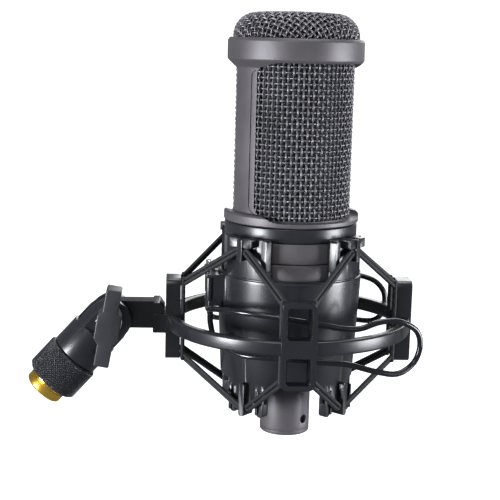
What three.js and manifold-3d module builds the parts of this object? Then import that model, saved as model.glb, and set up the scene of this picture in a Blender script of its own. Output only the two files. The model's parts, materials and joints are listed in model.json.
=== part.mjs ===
// Side-address condenser microphone in an elastic shock mount with a swivel stand adapter.
// Millimetres, +Z up along the microphone. Heights and radii below are measured from the centre of the
// microphone's connector end. The finished group is moved so that the origin is the stand thread's mouth.
// Bearings are degrees from the front post (-Y) towards +X, seen from above.

import * as THREE from 'three';
import { mergeVertices } from 'three/addons/utils/BufferGeometryUtils.js';
import Module from 'manifold-3d';

const wasm = await Module();
wasm.setup();

// ---------------------------------------------------------------- driving dimensions
const GAP = 0.3;                 // running gap between touching pieces
const ROUND = 48;                // facets round a large turned piece
const FINE = 24;                 // facets round a small turned piece

// microphone
const MIC_TURN = 28;             // bearing that the microphone's front faces
const CASE_R = 25.5;             // housing radius
const BAND_R = 25.6;             // smooth band radius
const COLLAR_R = 26;             // grille frame collars
const POST_R = 23;               // grille frame posts
const POST_WALL = 0.8;
const MESH_WALL = 0.9;
const WINDOW_HALF = 21.5;        // half width of a window, straight across
const WINDOW_Z = [87, 145];
const WINDOW_CORNER = 7;
const FRAME_FOOT_Z = [84.7, 88.6];
const COLLAR_Z = [142.9, 153.9];
const DOME_R = 23.9;
const DOME_BASE_Z = 151.8;
const DOME_SHOULDER_Z = 154.4;
const DOME_EDGE_R = 8.5;
const DOME_TOP_Z = 163.7;
const BAND_Z = [79.2, 84.4];
const UPPER_CASE_Z = [71.3, 78.9];
const LOWER_CASE_Z = [22.3, 71];
const BARREL_R = 9.8;
const BARREL_BORE_R = 8;
const BARREL_TOP_Z = 22;
const INSERT_Z = [15.6, 21.6];
const PIN_R = 1.2;
const PIN_CIRCLE_R = 4.3;
const PIN_Z = [2.8, 15.3];
const BARREL_HOLE_Z = 6.1;
const BARREL_HOLE_BEARING = 43.8;
const CAPSULE_Z = 115;
const CAPSULE_R = 11;
const CAPSULE_DEPTH = 9;
const DECK_Z = [85.3, 87.3];

// clamp cradle
const CRADLE_TURN = 3.5;         // degrees that the cradle sits round from the posts
const CRADLE_Z = [24, 65.1];     // lower rim and rim between the ears
const EAR_TOP_Z = 80.4;
const EAR_CUT = 21.8;            // width of the cut-out between two ears
const CRADLE_TOP_R = 28;
const CRADLE_FOOT_R = 26;
const CRADLE_BORE_R = CASE_R + 0.4;
const EAR_BEARINGS = [-135, -45, 45, 135];
const FIN_STEP = 6.4; // side step from the middle fin to an outer one
const HINGE_X = -30.3;
const HINGE_PIN_R = 1.2;
const BOSS_Z = [54.4, 64.2];
const BOSS_X = [-32.6, -26.2];
const BOSS_HALF_WIDTH = 11.5;
const KNUCKLE_HALF = 3;
const WIRE_R = 1;

// suspension ring and arm
const RING_R = [43.8, 47.6];
const RING_Z = [42.1, 47.5];
const LOOP_R = [42.2, 47.9];
const LOOP_Z = [29.6, 61.6];
const LOOP_WIDTH = 12.6;
const LOOP_BAR = 1.8;
const POSTS = { front: 0, right: 90, rear: 180, left: 270 };
const ARM_HALF = 4;              // half thickness of the arm and its tongue
const ARM_Z = [41.5, 52.1];
const BRACKET_X = [-52.8, -41.5];
const BRACKET_FOOT_Z = 40.5;
const BRACKET_HALF = 7.6;
const CORD_R = 1.3;              // plain round stand-in for a doubled elastic

// swivel adapter, drawn hanging straight down from its pivot and then tilted
const PIVOT = new THREE.Vector3(-69.5, 0, 44.8);
const ADAPTER_TILT = 42;         // degrees from straight down towards -X
const TONGUE_R = 7.5;
const CHEEK_R = 8.4;
const CHEEK_Y = [4.2, 8];
const SLOT_FLOOR = -8.8;
const ADAPTER_R = 9.85;
const ADAPTER_END = -20.5;
const SOCKET_R = 10.9;
const SOCKET_Z = [-34.4, -20.8];
const SOCKET_BORE_R = 8.2;
const THREAD_R = [4.7, 7.9];     // 3/8 inch inside, 5/8 inch outside
const THREAD_Z = [-39.4, -23];
const BOLT_R = 2.5;
const HANDLE_Y = [-20.2, -10.3];
const HANDLE_LEAN = 9.3;         // degrees that the handle's top leans towards +X
const HANDLE_HALF = 15;

// ---------------------------------------------------------------- materials
const finish = (color, roughness, metalness) => new THREE.MeshStandardMaterial({ color, roughness, metalness });
const MATERIALS = {
  housing: finish(0x56555a, 0.6, 0.3),
  band: finish(0x1c1d21, 0.35, 0.2),
  mesh: finish(0x2b2b2d, 0.5, 0.7),
  plastic: finish(0x232427, 0.55, 0),
  wire: finish(0x101113, 0.25, 0.4),
  elastic: finish(0x1b1c1e, 0.9, 0),
  handle: finish(0x222326, 0.6, 0),
  brass: finish(0xd9a441, 0.25, 1),
  steel: finish(0xb9bcc0, 0.3, 1),
  board: finish(0x1f5a3a, 0.6, 0),
  film: finish(0xd8b25a, 0.3, 0.8),
  insulator: finish(0x1a1a1b, 0.5, 0),
};

// ---------------------------------------------------------------- solids
const radians = THREE.MathUtils.degToRad;

function bearing(radius, degrees, z = 0) {
  return new THREE.Vector3(radius * Math.sin(radians(degrees)), -radius * Math.cos(radians(degrees)), z);
}

function toSolid(geometry) {
  const bare = geometry.clone();
  bare.deleteAttribute('normal');
  bare.deleteAttribute('uv');
  const merged = mergeVertices(bare, 1e-4);
  const at = merged.attributes.position;
  const index = merged.index.array;
  const kept = [];
  let volume = 0;
  const a = new THREE.Vector3();
  const b = new THREE.Vector3();
  const c = new THREE.Vector3();
  for (let i = 0; i < index.length; i += 3) {
    const [p, q, r] = [index[i], index[i + 1], index[i + 2]];
    if (p === q || q === r || r === p) continue;
    kept.push(p, q, r);
    volume += a.fromBufferAttribute(at, p).dot(b.fromBufferAttribute(at, q).cross(c.fromBufferAttribute(at, r)));
  }
  if (volume < 0) kept.reverse();
  const vertProperties = new Float32Array(at.array);
  const triVerts = new Uint32Array(kept);
  return new wasm.Manifold(new wasm.Mesh({ numProp: 3, vertProperties, triVerts }));
}

function toGeometry(solid) {
  const mesh = solid.getMesh();
  const geometry = new THREE.BufferGeometry();
  geometry.setAttribute('position', new THREE.BufferAttribute(new Float32Array(mesh.vertProperties), 3));
  geometry.setIndex(new THREE.BufferAttribute(new Uint32Array(mesh.triVerts), 1));
  return geometry;
}

const join = (...parts) => toGeometry(parts.map(toSolid).reduce((all, next) => all.add(next)));
const cut = (body, ...tools) => toGeometry(tools.map(toSolid).reduce((all, next) => all.subtract(next), toSolid(body)));
const common = (one, other) => toGeometry(toSolid(one).intersect(toSolid(other)));

function turned(profile, facets = ROUND) {
  const points = profile.map(([r, z]) => new THREE.Vector2(r, z));
  if (points[0].x > 0) points.push(points[0].clone());
  return new THREE.LatheGeometry(points, facets).rotateX(Math.PI / 2);
}

const sleeve = (inner, outer, z0, z1, facets) => turned([[inner, z0], [outer, z0], [outer, z1], [inner, z1]], facets);
const rod = (radius, z0, z1, facets = FINE) => turned([[0, z0], [radius, z0], [radius, z1], [0, z1]], facets);

function block([x0, x1], [y0, y1], [z0, z1]) {
  const box = new THREE.BoxGeometry(x1 - x0, y1 - y0, z1 - z0);
  return box.translate((x0 + x1) / 2, (y0 + y1) / 2, (z0 + z1) / 2);
}

function outline(points) {
  return new THREE.Shape(points.map(([x, y]) => new THREE.Vector2(x, y)));
}

function roundedRectangle(x0, x1, y0, y1, radius) {
  const shape = new THREE.Shape();
  shape.moveTo(x0 + radius, y0);
  shape.lineTo(x1 - radius, y0);
  shape.absarc(x1 - radius, y0 + radius, radius, -Math.PI / 2, 0);
  shape.lineTo(x1, y1 - radius);
  shape.absarc(x1 - radius, y1 - radius, radius, 0, Math.PI / 2);
  shape.lineTo(x0 + radius, y1);
  shape.absarc(x0 + radius, y1 - radius, radius, Math.PI / 2, Math.PI);
  shape.lineTo(x0, y0 + radius);
  shape.absarc(x0 + radius, y0 + radius, radius, Math.PI, 1.5 * Math.PI);
  return shape;
}

// A flat outline in X and Z, given thickness from y0 to y1.
function slab(shape, y0, y1, curveSegments = 2) {
  const plate = new THREE.ExtrudeGeometry(shape, { depth: y1 - y0, bevelEnabled: false, curveSegments });
  return plate.rotateX(Math.PI / 2).translate(0, y1, 0);
}

function tube(points, radius, steps, sides = 6) {
  const section = new THREE.Shape();
  section.absarc(0, 0, radius, 0, 2 * Math.PI);
  const path = points.length > 2 ? new THREE.CatmullRomCurve3(points) : new THREE.LineCurve3(...points);
  const options = { steps, extrudePath: path, curveSegments: sides / 2, bevelEnabled: false };
  return new THREE.ExtrudeGeometry(section, options);
}

// Turns a piece drawn facing -Y so that it faces the given bearing.
const facing = (geometry, degrees) => geometry.clone().rotateZ(radians(degrees));

// ---------------------------------------------------------------- scene graph
const part = new THREE.Group();
const stand = new THREE.Group();
stand.position.copy(PIVOT);
stand.rotation.y = radians(ADAPTER_TILT);
const microphone = new THREE.Group();
microphone.rotation.z = radians(MIC_TURN);
const assembly = new THREE.Group();
assembly.add(stand, microphone);
part.add(assembly);
const threadMouth = new THREE.Vector3(0, 0, THREAD_Z[0]).applyAxisAngle(new THREE.Vector3(0, 1, 0), radians(ADAPTER_TILT));
assembly.position.copy(threadMouth.add(PIVOT).negate());

function add(name, geometry, material, group = assembly) {
  const mesh = new THREE.Mesh(toGeometry(toSolid(geometry)), MATERIALS[material]);
  mesh.name = name;
  group.add(mesh);
}

// ---------------------------------------------------------------- microphone
function grilleFrame() {
  const bore = POST_R - POST_WALL;
  const profile = [
    [bore, FRAME_FOOT_Z[0]], [COLLAR_R - 0.6, FRAME_FOOT_Z[0]], [COLLAR_R, FRAME_FOOT_Z[0] + 0.6],
    [COLLAR_R, FRAME_FOOT_Z[1] - 0.8], [COLLAR_R - 0.8, FRAME_FOOT_Z[1]], [POST_R, FRAME_FOOT_Z[1]],
    [POST_R, COLLAR_Z[0]], [COLLAR_R - 0.4, COLLAR_Z[0] + 2.5], [COLLAR_R, COLLAR_Z[0] + 3.2],
    [COLLAR_R, COLLAR_Z[1] - 1.1], [COLLAR_R - 1, COLLAR_Z[1]], [DOME_R + GAP, COLLAR_Z[1]],
    [DOME_R + GAP, DOME_BASE_Z - GAP], [bore, DOME_BASE_Z - 1.6],
  ];
  const window = roundedRectangle(-WINDOW_HALF, WINDOW_HALF, ...WINDOW_Z, WINDOW_CORNER);
  return cut(turned(profile), slab(window, -2 * COLLAR_R, 2 * COLLAR_R, 3));
}

function domeProfile(offset) {
  const centreR = DOME_R - DOME_EDGE_R;
  const edge = DOME_EDGE_R - offset;
  const points = [];
  for (let angle = 0; angle <= 72; angle += 18) {
    const bend = radians(angle);
    points.push([centreR + edge * Math.cos(bend), DOME_SHOULDER_Z + edge * Math.sin(bend)]);
  }
  const [shoulderR, shoulderZ] = points.at(-1);
  const top = DOME_TOP_Z - offset;
  for (const share of [0.5, 0]) {
    points.push([shoulderR * share, top - (top - shoulderZ) * share * share]);
  }
  return points;
}

function domeMesh() {
  const outer = domeProfile(0);
  const inner = domeProfile(MESH_WALL).reverse();
  return turned([...inner, [DOME_R - MESH_WALL, DOME_BASE_Z], [DOME_R, DOME_BASE_Z], ...outer]);
}

function lowerCase() {
  const [foot, top] = LOWER_CASE_Z;
  return turned([
    [BARREL_BORE_R, foot], [BARREL_R, foot], [13, 23.8], [20, 26], [24, 29.5], [CASE_R, 33], [CASE_R, top],
    [CASE_R - 2, top], [CASE_R - 2, 34], [21.6, 30.6], [17, 28], [BARREL_BORE_R, 26],
  ]);
}

function connectorBarrel() {
  const body = turned([
    [BARREL_BORE_R, 0], [BARREL_R - 0.6, 0], [BARREL_R, 0.6], [BARREL_R, BARREL_TOP_Z], [BARREL_BORE_R, BARREL_TOP_Z],
  ], 48);
  const hole = rod(1.75, 0, 2 * BARREL_R, 16).rotateX(Math.PI / 2).translate(0, 0, BARREL_HOLE_Z);
  return cut(body, facing(hole, BARREL_HOLE_BEARING - MIC_TURN));
}

// A disc or ring whose axis points at the microphone's front, centred on the capsule.
const onCapsule = (geometry) => geometry.rotateX(Math.PI / 2).translate(0, 0, CAPSULE_Z);

function capsuleSaddle() {
  const post = block([-6, 6], [-4, 4], [DECK_Z[1] + GAP, CAPSULE_Z - 4]);
  return cut(post, onCapsule(rod(CAPSULE_R + GAP, -CAPSULE_DEPTH, CAPSULE_DEPTH, 32)));
}

function addMicrophone() {
  const half = CAPSULE_DEPTH / 2;
  const bore = POST_R - POST_WALL - GAP;
  add('grille_frame', grilleFrame(), 'housing', microphone);
  add('dome_mesh', domeMesh(), 'mesh', microphone);
  add('side_mesh', sleeve(bore - MESH_WALL, bore, FRAME_FOOT_Z[0] + GAP, DOME_BASE_Z - 1.9), 'mesh', microphone);
  add('body_band', sleeve(CASE_R - 3.5, BAND_R, ...BAND_Z), 'band', microphone);
  add('upper_case', sleeve(CASE_R - 3.5, CASE_R, ...UPPER_CASE_Z), 'housing', microphone);
  add('lower_case', lowerCase(), 'housing', microphone);
  add('connector_barrel', connectorBarrel(), 'housing', microphone);
  add('connector_insert', rod(BARREL_BORE_R - GAP, ...INSERT_Z, 32), 'insulator', microphone);
  for (const [i, degrees] of [-50, 50, 180].entries()) {
    const at = bearing(PIN_CIRCLE_R, degrees);
    add(`connector_pin_${i + 1}`, rod(PIN_R, ...PIN_Z, 12).translate(at.x, at.y, 0), 'steel', microphone);
  }
  add('capsule_deck', rod(bore - MESH_WALL - GAP, ...DECK_Z, 48), 'plastic', microphone);
  add('capsule_saddle', capsuleSaddle(), 'plastic', microphone);
  add('capsule_ring', onCapsule(sleeve(CAPSULE_R - 1.7, CAPSULE_R, -half, half, 32)), 'steel', microphone);
  add('capsule_diaphragm', onCapsule(rod(CAPSULE_R - 2, half - 1, half - 0.8, 32)), 'film', microphone);
  add('capsule_backplate', onCapsule(rod(CAPSULE_R - 2, half - 3.2, half - 1.3, 32)), 'brass', microphone);
  add('circuit_board', block([-15, 15], [-0.8, 0.8], [38, 82]), 'board', microphone);
  add('coupling_capacitor', rod(4, 53, 67, 16).translate(0, -5.2, 0), 'film', microphone);
  add('chassis_rail_left', block([-19.4, -16.4], [-4, 4], [37, 85]), 'steel', microphone);
  add('chassis_rail_right', block([16.4, 19.4], [-4, 4], [37, 85]), 'steel', microphone);
}

// ---------------------------------------------------------------- clamp cradle
// One fin, drawn on the front bearing: radial extent, side step, thickness and height.
const fin = (radii, side, thick, heights) => block([side - thick / 2, side + thick / 2], [-radii[1], -radii[0]], heights);

// An ear's hooks: a T above, whose wings hold the elastics down, a rib beside the open front or back, and three
// teeth below on a skirt.
function hookFins(ear) {
  const ribSide = -Math.sign(Math.sin(radians(2 * ear))) * 9.3;
  const skirt = common(sleeve(24.2, CRADLE_FOOT_R, 17, 26), block([-9.5, 9.5], [-40, -10], [10, 40]));
  return [
    fin([27, 31.8], 0, 2.2, [72, EAR_TOP_Z]),
    fin([27, 31.4], 0, 9.4, [77.2, EAR_TOP_Z]),
    fin([26, 28.7], ribSide, 2.4, [69, EAR_TOP_Z]),
    fin([22.5, 28.6], 0, 2.4, [11.5, 25]),
    fin([22, 25], -FIN_STEP, 3.4, [11.5, 25]),
    fin([22, 25], FIN_STEP, 3.4, [11.5, 25]),
    skirt,
  ];
}

function cradleBody() {
  const [foot, rim] = CRADLE_Z;
  const shell = turned([
    [24.2, foot], [CRADLE_FOOT_R, foot], [CRADLE_TOP_R - 0.4, 53], [CRADLE_TOP_R, rim], [CRADLE_TOP_R, EAR_TOP_Z],
    [CRADLE_BORE_R, EAR_TOP_Z], [CRADLE_BORE_R, 34], [24.6, 29.5],
  ]);
  const notch = block([-EAR_CUT / 2, EAR_CUT / 2], [-40, -10], [rim, 90]);
  const notches = Object.values(POSTS).map((degrees) => facing(notch, degrees + CRADLE_TURN));
  const hooks = EAR_BEARINGS.flatMap((ear) => hookFins(ear).map((one) => facing(one, ear + CRADLE_TURN)));
  const caseSpace = [rod(CRADLE_BORE_R, 34, 90, ROUND), rod(24.2, 24, 34, ROUND), rod(22, 0, 24, ROUND)];
  return cut(join(shell, ...hooks), ...notches, ...caseSpace);
}

// side is -1 for the front half and +1 for the rear half, whose knuckle is the lower one.
function clampHalf(body, side) {
  const middle = (BOSS_Z[0] + BOSS_Z[1]) / 2;
  const knuckleZ = side < 0 ? [middle + GAP / 2, BOSS_Z[1]] : [BOSS_Z[0], middle - GAP / 2];
  const otherZ = side < 0 ? [BOSS_Z[0] - GAP, middle + GAP / 2] : [middle - GAP / 2, BOSS_Z[1] + GAP];
  const ordered = (...ends) => ends.map((y) => y * side).sort((p, q) => p - q);
  const half = common(body, block([-60, 60], ordered(GAP / 2, 60), [0, 100]));
  const boss = block(BOSS_X, ordered(KNUCKLE_HALF + 1, BOSS_HALF_WIDTH), BOSS_Z);
  const knuckle = block(BOSS_X, ordered(-KNUCKLE_HALF, KNUCKLE_HALF + 2), knuckleZ);
  const clearance = block([BOSS_X[0] - 1, BOSS_X[1] + 2], [-KNUCKLE_HALF - 1, KNUCKLE_HALF + 1], otherZ);
  const pinHole = rod(HINGE_PIN_R + GAP, 40, 72, 16).translate(HINGE_X, 0, 0);
  return cut(join(cut(half, clearance), boss, knuckle), pinHole, rod(CRADLE_BORE_R, 34, 90, ROUND));
}

// Stops of the hairpin wires, as radius, bearing and height, on the way out and on the way back. The front one is
// as drawn, and the rear one, which is shorter and stands higher, is mirrored front to back.
const HAIRPIN_START = [[31, -81, 53.6], [31.8, -79, 51.4], [33.2, -72, 50.8], [35, -56, 52.9]];
const HAIRPIN_END = [[36.8, -3, 38.1], [36.4, -20, 38.3], [36, -34, 38.2], [35, -54, 40.4], [33, -68, 45],
  [31.8, -75, 50], [31, -76.5, 53.6]];
const FRONT_HAIRPIN = [
  [36.3, -32, 54.2], [36.8, -4, 53.4], [37.2, 13, 51.4], [38, 28, 49.3], [39.6, 38, 48.9], [43.6, 47, 51.1],
  [48.4, 54.5, 50.9], [52.8, 61, 47], [54.2, 62.5, 41], [52.4, 61, 34.4], [48.6, 54, 31], [44, 44, 32.6],
  [39, 30, 35.8], [37, 14, 37.1],
];
const REAR_HAIRPIN = [
  [36.3, -32, 54.9], [37, -4, 56.2], [37.6, 20, 57], [39.5, 38, 57.3], [43.5, 47, 57], [47.6, 54, 55],
  [50.2, 57.4, 50.9], [50.8, 58, 46], [50.3, 57, 41.2], [47.6, 53.5, 38], [43, 45, 37.8], [39, 30, 38],
  [37.4, 14, 38.1],
];

// A hairpin wire: out inside the ring, over it, round and back below it. side mirrors it front to back.
function handleWire(bend, side) {
  const route = [...HAIRPIN_START, ...bend, ...HAIRPIN_END];
  const points = route.map(([r, degrees, z]) => bearing(r, degrees, z));
  points.forEach((point) => { point.y *= side; });
  return tube(points, WIRE_R, 60);
}

function addCradle() {
  const body = cradleBody();
  add('front_clamp_half', clampHalf(body, -1), 'plastic');
  add('rear_clamp_half', clampHalf(body, 1), 'plastic');
  add('hinge_pin', rod(HINGE_PIN_R, BOSS_Z[0] - 0.5, BOSS_Z[1] + 1, 16).translate(HINGE_X, 0, 0), 'steel');
  const spring = sleeve(HINGE_PIN_R + GAP, HINGE_PIN_R + 1.1, BOSS_Z[1] + GAP, BOSS_Z[1] + 4, 20);
  add('clamp_spring', spring.translate(HINGE_X, 0, 0), 'steel');
  add('front_handle_wire', handleWire(FRONT_HAIRPIN, 1), 'wire');
  add('rear_handle_wire', handleWire(REAR_HAIRPIN, -1), 'wire');
}

// ---------------------------------------------------------------- suspension ring
// Half of a post's loop, above or below the ring: two legs and the bar that the elastics hook over.
function postFrame([legZ, barZ]) {
  const half = LOOP_WIDTH / 2;
  const open = half - LOOP_BAR;
  const up = Math.sign(barZ - legZ);
  const outside = roundedRectangle(-half, half, ...[legZ - up * 6, barZ].sort((p, q) => p - q), 2.4);
  const inside = roundedRectangle(-open, open, ...[legZ - up * 6, barZ - up * LOOP_BAR].sort((p, q) => p - q), 1);
  const beyond = block([-half - 1, half + 1], [-60, 0], [legZ, legZ - up * 8].sort((p, q) => p - q));
  return cut(slab(outside, -LOOP_R[1], -LOOP_R[0]), slab(inside, -LOOP_R[1] - 1, -LOOP_R[0] + 1), beyond);
}

function arm() {
  const [outer, inner] = BRACKET_X;
  const [ringFoot, ringTop] = RING_Z;
  const post = -LOOP_R[1] - GAP;
  const bracket = outline([
    [inner, ringFoot], [post, ringFoot], [post, BRACKET_FOOT_Z], [outer, BRACKET_FOOT_Z], [outer, ARM_Z[1]],
    [outer + 2, ARM_Z[1]], [post, ringTop + 1.5], [post, ringTop], [inner, ringTop],
  ]);
  const bar = block([PIVOT.x, outer + 1], [-ARM_HALF, ARM_HALF], ARM_Z);
  const eye = rod(TONGUE_R, -ARM_HALF, ARM_HALF, 40).rotateX(Math.PI / 2).translate(PIVOT.x, 0, PIVOT.z);
  const nearEye = block([PIVOT.x - 1, PIVOT.x + 4], [-9, 9], [PIVOT.z + TONGUE_R - 1, 70]);
  return join(slab(bracket, -BRACKET_HALF, BRACKET_HALF), cut(bar, nearEye), eye);
}

function suspensionRing() {
  const boltHole = rod(BOLT_R + GAP, -20, 20).rotateX(Math.PI / 2).translate(PIVOT.x, 0, PIVOT.z);
  return cut(join(sleeve(...RING_R, ...RING_Z, 64), arm()), boltHole);
}

// Eight legs of one elastic, from each hook to the nearest corner of the loops on either side of it.
function addCord(name, hook, corner) {
  let number = 1;
  for (const degrees of EAR_BEARINGS) {
    for (const side of [-1, 1]) {
      const start = facingPoint(hook.side * side, hook.r, hook.z, degrees + CRADLE_TURN);
      const end = facingPoint(-corner.side * side, corner.r, corner.z, degrees + 45 * side);
      add(`${name}_${number}`, tube([start, end], CORD_R, 1), 'elastic');
      number += 1;
    }
  }
}

// A point drawn on the front bearing at a side step and radius, turned to another bearing.
function facingPoint(side, radius, z, degrees) {
  return new THREE.Vector3(side, -radius, z).applyAxisAngle(new THREE.Vector3(0, 0, 1), radians(degrees));
}

function addSuspension() {
  add('suspension_ring', suspensionRing(), 'plastic');
  for (const [name, degrees] of Object.entries(POSTS)) {
    add(`upper_post_${name}`, facing(postFrame([RING_Z[1] + GAP, LOOP_Z[1]]), degrees), 'plastic');
    add(`lower_post_${name}`, facing(postFrame([RING_Z[0] - GAP, LOOP_Z[0]]), degrees), 'plastic');
  }
  addCord('upper_cord', { r: 30.2, side: 3.1, z: 74.4 }, { r: 40.5, side: 5, z: 60 });
  addCord('lower_cord', { r: 27.4, side: 3.2, z: 15.4 }, { r: 40.5, side: 5, z: 31 });
}

// ---------------------------------------------------------------- swivel adapter
const alongPivot = (geometry) => geometry.rotateX(Math.PI / 2);

function adapterBody() {
  const side = new THREE.Shape();
  side.absarc(0, 0, CHEEK_R, 0, Math.PI);
  side.lineTo(-ADAPTER_R - 1, SLOT_FLOOR - 1);
  side.lineTo(-ADAPTER_R - 1, ADAPTER_END);
  side.lineTo(ADAPTER_R + 1, ADAPTER_END);
  side.lineTo(ADAPTER_R + 1, SLOT_FLOOR - 1);
  const envelope = turned([[0, ADAPTER_END], [ADAPTER_R, ADAPTER_END], [ADAPTER_R, CHEEK_R], [0, CHEEK_R]], 48);
  const blank = common(envelope, slab(side, -ADAPTER_R, ADAPTER_R, 8));
  const slot = block([-20, 20], [-CHEEK_Y[0], CHEEK_Y[0]], [SLOT_FLOOR, 20]);
  const faces = [-1, 1].map((way) => block([-20, 20], [way * 13 - 5, way * 13 + 5], [SLOT_FLOOR + 1, 20]));
  return cut(blank, slot, ...faces, alongPivot(rod(BOLT_R + GAP, -20, 20)));
}

function threadInsert() {
  const slot = block([-20, 20], [-0.7, 0.7], [THREAD_Z[0] - 1, THREAD_Z[0] + 1.4]);
  return cut(sleeve(...THREAD_R, ...THREAD_Z, 40), slot);
}

function teeHandle() {
  const limb = 2.9;
  const hub = 4.5;
  const side = [[limb, -HANDLE_HALF], [limb, -6.5], [hub, -4.5], [hub, 4.5], [limb, 6.5], [limb, HANDLE_HALF]];
  const mirrored = side.map(([x, z]) => [-x, -z]);
  const wing = slab(outline([...side, ...mirrored]), ...HANDLE_Y);
  return wing.rotateY(radians(HANDLE_LEAN));
}

function addAdapter() {
  const upright = (geometry) => geometry.rotateY(radians(-ADAPTER_TILT));
  add('adapter_body', adapterBody(), 'plastic', stand);
  const socket = turned([
    [SOCKET_BORE_R, SOCKET_Z[0]], [SOCKET_R - 1.2, SOCKET_Z[0]], [SOCKET_R, SOCKET_Z[0] + 1.4],
    [SOCKET_R, SOCKET_Z[1] - 0.5], [SOCKET_R - 0.5, SOCKET_Z[1]], [SOCKET_BORE_R, SOCKET_Z[1]],
  ], 48);
  add('knurled_socket', socket, 'plastic', stand);
  add('thread_insert', threadInsert(), 'brass', stand);
  add('pivot_washer', alongPivot(sleeve(BOLT_R + GAP, 5, CHEEK_Y[1] + GAP, HANDLE_Y[1] * -1 - GAP, 24)), 'steel', stand);
  const nut = cut(rod(4.8, -CHEEK_Y[1] - 3.8, -CHEEK_Y[1] - GAP, 6), rod(BOLT_R + GAP, -20, 20));
  add('pivot_nut', alongPivot(nut), 'steel', stand);
  add('tee_handle', upright(teeHandle()), 'handle', stand);
  add('pivot_bolt', alongPivot(rod(BOLT_R, -CHEEK_Y[1] - 4.6, HANDLE_Y[1] * -1 - GAP, 24)), 'steel', stand);
}

addMicrophone();
addCradle();
addSuspension();
addAdapter();

export default part;
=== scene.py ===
"""Looks of a condenser microphone held in its elastic shock mount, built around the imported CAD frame.

Lengths below are millimetres. Heights and radii are measured from the centre of the microphone's
connector end, and bearings are degrees from the front post (-Y) towards +X, seen from above.
"""
import json
import math

import bmesh
import bpy
import numpy as np
from mathutils import Matrix, Vector


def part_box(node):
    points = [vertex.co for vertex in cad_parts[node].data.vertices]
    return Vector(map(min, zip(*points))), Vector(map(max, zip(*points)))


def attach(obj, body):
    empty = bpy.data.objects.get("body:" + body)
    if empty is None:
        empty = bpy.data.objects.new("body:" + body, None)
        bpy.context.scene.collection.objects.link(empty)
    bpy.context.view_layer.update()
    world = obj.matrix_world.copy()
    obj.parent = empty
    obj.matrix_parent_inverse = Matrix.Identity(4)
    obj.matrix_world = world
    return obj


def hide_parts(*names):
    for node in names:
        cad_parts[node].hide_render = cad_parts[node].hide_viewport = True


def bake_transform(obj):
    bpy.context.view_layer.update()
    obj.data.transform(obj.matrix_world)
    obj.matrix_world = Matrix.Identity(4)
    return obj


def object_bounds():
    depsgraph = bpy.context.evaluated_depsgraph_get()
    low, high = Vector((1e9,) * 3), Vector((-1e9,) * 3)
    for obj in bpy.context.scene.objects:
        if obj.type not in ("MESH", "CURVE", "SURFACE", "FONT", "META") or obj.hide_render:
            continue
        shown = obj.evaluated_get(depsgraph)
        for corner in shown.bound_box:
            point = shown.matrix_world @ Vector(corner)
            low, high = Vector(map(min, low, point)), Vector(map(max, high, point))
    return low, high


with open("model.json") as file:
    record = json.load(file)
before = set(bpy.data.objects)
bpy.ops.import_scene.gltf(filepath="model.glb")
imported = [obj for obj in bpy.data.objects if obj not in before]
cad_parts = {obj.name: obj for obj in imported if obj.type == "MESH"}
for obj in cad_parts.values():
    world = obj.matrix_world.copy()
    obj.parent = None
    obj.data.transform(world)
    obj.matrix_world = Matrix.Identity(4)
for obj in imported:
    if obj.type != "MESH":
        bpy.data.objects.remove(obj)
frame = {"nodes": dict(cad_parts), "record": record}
CAD_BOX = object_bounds()

MM = 0.001

# ---------------------------------------------------------------- driving dimensions
GAP = 0.3  # clearance between neighbouring parts

# microphone
MIC_TURN = 28
CASE_R = 25.5
BAND_R = 25.6
HOUSING_BORE_R = 22
COLLAR_R = 26
POST_R = 23
POST_BORE_R = 22.2
WINDOW_HALF = 21.5
WINDOW_Z = (87, 145)
WINDOW_CORNER = 4
WINDOW_TOOL_Y = (-40, -4.6)  # where the front window's tool starts and ends
STEP_WIDTH = 1.0  # the sunk border around a window
STEP_FOOT = 0.6
STEP_DEPTH = 0.35
FOOT_Z = (84.7, 88.6)
COLLAR_Z = (142.9, 153.9)
MESH_R = 21.9
MESH_WIRE = 0.4
MESH_PITCH = 2.05
MESH_UPRIGHTS = 72
MESH_HOOPS = 30
MESH_FOOT_Z = 86.2
# LINING_R and LINING_Z place the dark lining inside the side mesh. It is a real inner layer, and its dark
# tone is also painted shade for the shadowed inside of the grille
LINING_R = (20.3, 20.7)
LINING_Z = (85.6, 150)
DOME_R = 23.6
DOME_EDGE_R = 8.5
DOME_BASE_Z = 151.8
DOME_SHOULDER_Z = 154.4
DOME_TOP_Z = 163.4
# DOME_LINING_REACH sizes the dome's dark lining: a real inner layer whose dark tone is also painted shade
# under the dome
DOME_LINING_REACH = 30.5  # along the dome's surface from its crown
BAND_Z = (79.2, 84.4)
UPPER_CASE_Z = (71.3, 78.9)
LOWER_CASE_Z = (22.3, 71)
BARREL_R = 9.8
BARREL_BORE_R = 8
BARREL_TOP_Z = 22
BARREL_HOLE_R = 1.75
BARREL_HOLE_Z = 6.1
BARREL_HOLE_BEARING = 43.8
CONTACT_R = 1.2
CONTACT_CIRCLE_R = 4.3
CONTACT_Z = (2.8, 15.3)
CONTACT_BEARINGS = (-50, 50, 180)

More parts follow.
